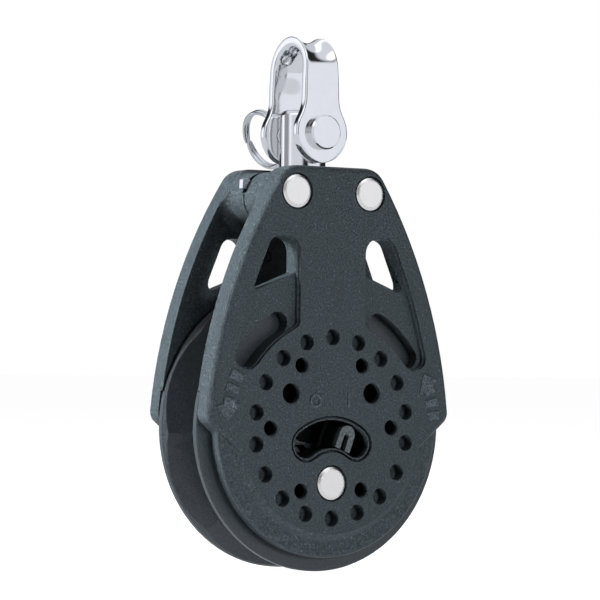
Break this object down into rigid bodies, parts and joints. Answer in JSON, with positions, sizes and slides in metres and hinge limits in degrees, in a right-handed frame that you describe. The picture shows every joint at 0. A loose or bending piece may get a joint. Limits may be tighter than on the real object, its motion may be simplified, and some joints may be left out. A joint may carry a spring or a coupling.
{
  "type": "ratchet block",
  "caption": "Swivel-shackle rope block with a ball-bearing faceted sheave, a switchable ratchet and two slotted moulded cheeks.",
  "frame": {"origin": "middle of the sheave on its axis", "axes": "+Y along the sheave's axis, away from the ratchet switch; +Z towards the shackle; +X to the right seen from the switch side"},
  "size_m": [0.057, 0.0315, 0.1065],
  "materials": {
    "cheek": "matte moulded, fine grain",
    "sheave": "satin moulded",
    "steel": "polished",
    "switch": "matte moulded",
    "works": "as machined",
    "ball": "smooth",
    "cam": "satin moulded"
  },
  "bodies": {
    "frame": {"front_cheek": "cheek", "back_cheek": "cheek", "head_rivets": "steel", "hub_rivet": "steel", "pawl_pins": "steel", "detent_spring": "works", "left_pawl_spring": "steel", "right_pawl_spring": "steel"},
    "wheel": {"sheave": "sheave", "ratchet_ring": "works"},
    "front_row": {"front_balls": "ball"},
    "back_row": {"back_balls": "ball"},
    "left_pawl": {"left_pawl": "works"},
    "right_pawl": {"right_pawl": "works"},
    "cam": {"release_cam": "cam"},
    "lever": {"ratchet_switch": "switch"},
    "post": {"head_post": "steel", "post_washer": "ball"},
    "clip": {"lock_clip": "steel"},
    "shackle": {"shackle": "steel"},
    "pin": {"clevis_pin": "steel"},
    "ring": {"split_ring": "steel"}
  },
  "joints": [
    {"name": "sheave_spin", "type": "hinge", "parent": "frame", "child": "wheel", "pos_m": [0, 0, 0], "axis": [0, 1, 0], "continuous": true},
    {"name": "front_balls_orbit", "type": "hinge", "parent": "frame", "child": "front_row", "pos_m": [0, -0.0046, 0], "axis": [0, 1, 0], "continuous": true},
    {"name": "back_balls_orbit", "type": "hinge", "parent": "frame", "child": "back_row", "pos_m": [0, 0.0046, 0], "axis": [0, 1, 0], "continuous": true},
    {"name": "ratchet_switch_turn", "type": "hinge", "parent": "frame", "child": "lever", "pos_m": [0, -0.005, -0.01095], "axis": [0, 1, 0], "range_deg": [-42.6, 0]},
    {"name": "release_cam_turn", "type": "hinge", "parent": "frame", "child": "cam", "pos_m": [0, 0, 0], "axis": [0, 1, 0], "range_deg": [0, 32.6]},
    {"name": "left_pawl_lift", "type": "hinge", "parent": "frame", "child": "left_pawl", "pos_m": [-0.0095, 0, 0.0068], "axis": [0, 1, 0], "range_deg": [-6.7, 0], "deforming": ["left_pawl_spring"]},
    {"name": "right_pawl_lift", "type": "hinge", "parent": "frame", "child": "right_pawl", "pos_m": [0.0095, 0, 0.0068], "axis": [0, 1, 0], "range_deg": [-6.7, 0], "deforming": ["right_pawl_spring"]},
    {"name": "head_swivel", "type": "hinge", "parent": "frame", "child": "post", "pos_m": [0, 0, 0.046], "axis": [0, 0, 1], "continuous": true},
    {"name": "head_lock", "type": "hinge", "parent": "frame", "child": "clip", "pos_m": [-0.0086, 0, 0.04535], "axis": [0, 1, 0], "range_deg": [0, 16]},
    {"name": "shackle_swing", "type": "hinge", "parent": "post", "child": "shackle", "pos_m": [0, 0, 0.0585], "axis": [0, 1, 0], "range_deg": [-95, 95]},
    {"name": "clevis_pin_spin", "type": "hinge", "parent": "post", "child": "pin", "pos_m": [0, 0, 0.0585], "axis": [0, 1, 0], "continuous": true},
    {"name": "split_ring_swing", "type": "hinge", "parent": "pin", "child": "ring", "pos_m": [0, 0.0076, 0.0585], "axis": [-0.3859, 0, 0.9225], "range_deg": [-45, 25]}
  ],
  "couplings": [
    {"joint": "front_balls_orbit", "follows": "sheave_spin", "ratio": 0.5608},
    {"joint": "back_balls_orbit", "follows": "sheave_spin", "ratio": 0.5608},
    {"joint": "release_cam_turn", "follows": "ratchet_switch_turn", "ratio": -0.756},
    {"joint": "left_pawl_lift", "follows": "ratchet_switch_turn", "ratio": 0.1549},
    {"joint": "right_pawl_lift", "follows": "ratchet_switch_turn", "ratio": 0.1549}
  ]
}
